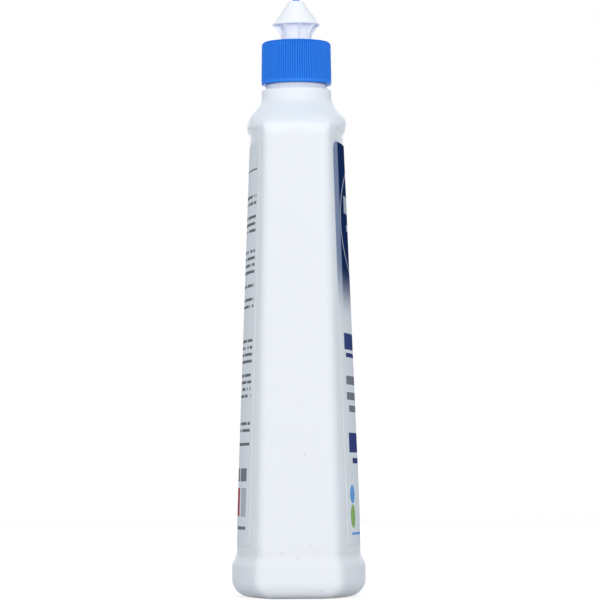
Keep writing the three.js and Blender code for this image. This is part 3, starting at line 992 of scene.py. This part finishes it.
def cap_skin():
    rib_foot = cap_foot + plain_band
    rib_end = cap_top - cap_edge_round
    rings = [plain_ring(cap_foot, cap_foot_radius - foot_edge),
             plain_ring(cap_foot + foot_edge * 0.3, cap_foot_radius - foot_edge * 0.3),
             plain_ring(cap_foot + foot_edge, cap_foot_radius),
             plain_ring(rib_foot - 0.1, cap_radius(rib_foot))]
    for rise, depth in ((0.05, 0.25), (0.2, 0.75), (0.4, 1.0)):
        rings.append(ribbed_ring(rib_foot + rise, cap_radius(rib_foot), rib_depth * depth))
    rings += [ribbed_ring(z, cap_radius(z), rib_depth) for z in spread(rib_foot + 2, rib_end, 4)]
    for angle in (15, 30, 45, 60, 75, 90):
        lean = math.radians(angle)
        rings.append(ribbed_ring(rib_end + cap_edge_round * math.sin(lean),
                                 cap_radius(rib_end) - cap_edge_round * (1 - math.cos(lean)),
                                 rib_depth * max(0.0, math.cos(lean) - rib_early_end)))
    rings += [plain_ring(cap_top, radius) for radius in (*shading_rings, tube_radius)]
    rings += [plain_ring(z, tube_bore) for z in (cap_top, cap_ceiling)]
    rings += [plain_ring(cap_ceiling, cap_bore - inside_edge)]
    rings += [plain_ring(cap_ceiling - inside_edge, cap_bore)]
    rings += [plain_ring(z, cap_bore) for z in (cap_ceiling - clear_of_thread, cap_foot + inside_edge)]
    rings += [plain_ring(cap_foot, cap_bore + inside_edge)]
    return loop_skin(rings)


def loop_skin(rings):
    """Rings joined one to the next, and the last one back to the first."""
    count = len(rings[0])
    points = [point for ring in rings for point in ring]
    faces = []
    for row in range(len(rings)):
        low = row * count
        high = (row + 1) % len(rings) * count
        for i in range(count):
            after = (i + 1) % count
            faces.append((low + i, low + after, high + after, high + i))
    return points, faces


def spout_tube():
    top = cap_top + tube_height
    bead = tube_radius + bead_out
    bead_foot = top - bead_height
    return turned([
        (tube_bore, cap_top - 0.5), (tube_radius + 0.5, cap_top - 0.2),
        (tube_radius + 0.15, cap_top + 0.2), (tube_radius, cap_top + 0.6),
        (tube_radius, bead_foot), (bead - 0.1, bead_foot + 0.15), (bead, bead_foot + 0.35),
        (bead, top - bead_out), (bead - 0.15, top - 0.2), (tube_radius, top),
        (tube_bore + 0.1, top), (tube_bore, top - 0.1)], 72)


def sealing_post():
    foot = cap_top + spoke_rise
    tip = spout_top + post_above
    outline = [(axis_gap, foot), (post_radius, foot)]
    for angle in spread(0, 85, 8):
        lean = math.radians(angle)
        outline.append((post_radius * math.cos(lean), tip - post_round + post_round * math.sin(lean)))
    outline.append((axis_gap, tip))
    return turned(outline, 48)


def spoke(turn):
    """One spoke from the post to the tube's wall."""
    reach = (tube_bore + tube_radius) / 2
    foot = cap_top + spoke_rise
    half = spoke_width / 2
    edge = spoke_edge
    section = [(-half, foot + edge), (-half + edge, foot), (half - edge, foot), (half, foot + edge),
               (half, foot + spoke_height - edge), (half - edge, foot + spoke_height),
               (-half + edge, foot + spoke_height), (-half, foot + spoke_height - edge)]
    rings = []
    for along in (spoke_start, reach):
        rings.append([(along * math.cos(turn) - across * math.sin(turn),
                       along * math.sin(turn) + across * math.cos(turn), z) for across, z in section])
    middle = foot + spoke_height / 2
    ends = [(along * math.cos(turn), along * math.sin(turn), middle) for along in (spoke_start, reach)]
    return skin(rings, *ends)


blue_colour = (0.036, 0.230, 0.82, 1)
blue_shade = (0.032, 0.215, 0.78, 1)
# Painted shade: a darker blue laid into the grooves between the ribs, where shade falls.
blue_groove_painted_shade = (0.010, 0.135, 0.60, 1)
groove_limit = 1.5


def painted_groove_shade_share(nodes, links, axes):
    """How deep a place lies in the grooves between the ribs, from 0 on a ridge to 1; it sets how much painted
    shade darkens the grooves.
    """
    radii = (cap_foot_radius * MM, cap_top_radius * MM)
    skirt = ranged(nodes, links, axes.outputs[2], cap_foot * MM, cap_top * MM, to=radii)
    squares = squared_sum(nodes, links, axes.outputs[0], axes.outputs[1])
    sunk = math_node(nodes, links, "SUBTRACT", skirt, math_node(nodes, links, "SQRT", squares))
    depth = ranged(nodes, links, sunk, 0.0, rib_depth * MM)
    on_skirt = math_node(nodes, links, "LESS_THAN", sunk, groove_limit * rib_depth * MM)
    return math_node(nodes, links, "MULTIPLY", depth, on_skirt)


def blue_plastic():
    made, nodes, links, shader = new_material("blue_polypropylene")
    place, axes = place_axes(nodes, links)
    tone = blend(nodes, links, noise(nodes, links, place, 70.0, 3.0), blue_colour, blue_shade)
    # Painted shade: the grooves between the ribs are darkened in the colour.
    groove_shaded = blend(nodes, links, painted_groove_shade_share(nodes, links, axes), tone, blue_groove_painted_shade)
    links.new(groove_shaded, shader.inputs["Base Color"])
    shader.inputs["Roughness"].default_value = 0.34
    shader.inputs["Specular IOR Level"].default_value = 0.02
    shader.inputs["Subsurface Weight"].default_value = 0.15
    shader.inputs["Subsurface Radius"].default_value = (0.3, 0.6, 1.2)
    shader.inputs["Subsurface Scale"].default_value = 0.001
    grain = noise(nodes, links, place, 900.0, 2.0)
    links.new(bumped(nodes, links, grain, 0.15, 0.00005), shader.inputs["Normal"])
    return made


def make_cap():
    ridge_drop = (thread_root_width + thread_crest_width) / 2 + thread_slack
    ridge = thread_ridge(cap_bore, -1, thread_start - ridge_drop)
    parts = [cap_skin(), spout_tube(), sealing_post(), ridge]
    parts += [spoke(2 * math.pi * i / spoke_count) for i in range(spoke_count)]
    cap = add_mesh("screw_cap", *joined(parts))
    cap.data.materials.append(blue_plastic())
    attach(cap, "cap_body")
    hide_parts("cap")


make_cap()


# Push-pull spout
# One moulded piece of white polyethylene that slides on the cap's tube: a smooth pouring cone with
# a rounded lip, a flared sleeve under it to pull on, and eight fins down the sleeve.
spout_wall = 1.15
spout_bore = tube_radius + bead_out + spout_gap
spout_radius = spout_bore + spout_wall
cone_radius = 11.05
cone_top_radius = 4.5
cone_foot = 7.4
cone_rim_height = 0.7
cone_height = 9.1
lip_catch = 1.3
orifice = post_radius + spout_gap
orifice_edge = 0.3
lip_inward = 2.1
fin_count = 8
fin_turn = 10.0
fin_width = 0.9
fin_foot_out = 1.05
fin_top_in = 0.25
fin_hollow = 2.3
fin_soft = 0.25
fin_sunk = 0.3
sleeve_out = 0.75
sleeve_radius = spout_radius + sleeve_out
flare_height = 4.2
flare_out = 2.6


def spout_shell():
    start = spout_foot + cone_foot
    edge = start + cone_rim_height
    end = edge + cone_height
    tube_end = cap_top + tube_height
    lip = tube_radius + spout_gap
    outline = [(lip + 0.1, spout_foot), (sleeve_radius - 0.1, spout_foot)]
    outline += [(sleeve_radius, spout_foot + 0.1)]
    outline += [(sleeve_radius, z) for z in spread(spout_foot + 1, start - flare_height, 3)]
    for angle in spread(0, 78, 8)[1:]:
        lean = math.radians(angle)
        outline.append((sleeve_radius + flare_out * (1 - math.cos(lean)),
                        start - flare_height + flare_height * math.sin(lean)))
    outline += [(sleeve_radius + flare_out, start + 0.02), (cone_radius - 0.5, start + 0.05)]
    outline += [(cone_radius - 0.1, start + 0.2), (cone_radius, start + 0.42)]
    outline += [(cone_radius - 0.04, edge - 0.1), (cone_radius - 0.22, edge + 0.2)]
    for t in spread(0, 1, 6):
        outline.append((mix(cone_radius - 0.35, cone_top_radius, t), mix(edge + 0.4, end, t)))
    for angle in spread(0, 90, 6)[1:]:
        lean = math.radians(angle)
        radius = cone_top_radius - lip_inward * (1 - math.cos(lean))
        outline.append((radius, mix(end, spout_top, math.sin(lean))))
    outline += [(orifice + orifice_edge, spout_top), (orifice + 0.1, spout_top - 0.1)]
    outline += [(orifice, spout_top - orifice_edge), (orifice, end - spout_wall)]
    outline += [(spout_bore, tube_end + 1.6), (spout_bore, spout_foot + lip_catch + bead_out)]
    outline += [(lip, spout_foot + lip_catch), (lip, spout_foot + 0.1)]
    return turned(outline, 128)


def fin(turn):
    """One upright fin under the cone, with a hollow free edge and rounded corners."""
    start = spout_foot + cone_foot
    top = start + 0.2
    inside = spout_radius - fin_sunk
    half = fin_width / 2
    soft = fin_soft
    rings = []
    for t in spread(0, 1, 10):
        z = mix(spout_foot + 0.05, top, t)
        reach = mix(spout_radius + fin_foot_out, cone_radius - fin_top_in, t ** fin_hollow)
        section = [(inside, -half), (reach - soft, -half), (reach - soft * 0.3, -half + soft * 0.3),
                   (reach, -half + soft), (reach, half - soft), (reach - soft * 0.3, half - soft * 0.3),
                   (reach - soft, half), (inside, half)]
        rings.append([(out * math.cos(turn) - across * math.sin(turn),
                       out * math.sin(turn) + across * math.cos(turn), z) for out, across in section])
    return skin(rings, ring_middle(rings[0]), ring_middle(rings[-1]))


spout_white = (0.86, 0.88, 0.91, 1)
spout_shade = (0.83, 0.855, 0.89, 1)
# Painted light: the sleeve and fins under the cone are coloured whiter than the cone, lifting the shade that
# falls under it.
sleeve_painted_light = (0.98, 0.98, 0.97, 1)
sleeve_light_end = -0.4
cone_tone_start = 0.3


def white_plastic():
    made, nodes, links, shader = new_material("white_polyethylene")
    place, axes = place_axes(nodes, links)
    tone = blend(nodes, links, noise(nodes, links, place, 80.0, 3.0), spout_white, spout_shade)
    start = spout_foot + cone_foot + sleeve_light_end
    end = spout_foot + cone_foot + cone_tone_start
    # Painted light: below the cone the colour fades to a whiter white over the shaded sleeve.
    cone_tone_share = ranged(nodes, links, axes.outputs[2], start * MM, end * MM)
    links.new(blend(nodes, links, cone_tone_share, sleeve_painted_light, tone), shader.inputs["Base Color"])
    shader.inputs["Roughness"].default_value = 0.36
    shader.inputs["Specular IOR Level"].default_value = 0.1
    shader.inputs["Subsurface Weight"].default_value = 0.25
    shader.inputs["Subsurface Radius"].default_value = (1, 1, 1.1)
    shader.inputs["Subsurface Scale"].default_value = 0.001
    grain = noise(nodes, links, place, 1000.0, 2.0)
    links.new(bumped(nodes, links, grain, 0.12, 0.00005), shader.inputs["Normal"])
    return made


def make_spout():
    parts = [spout_shell()]
    for i in range(fin_count):
        parts.append(fin(math.radians(180 + fin_turn + 360 * i / fin_count)))
    spout = add_mesh("push_pull_spout", *joined(parts))
    spout.data.materials.append(white_plastic())
    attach(spout, "spout_body")
    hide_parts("spout")


make_spout()
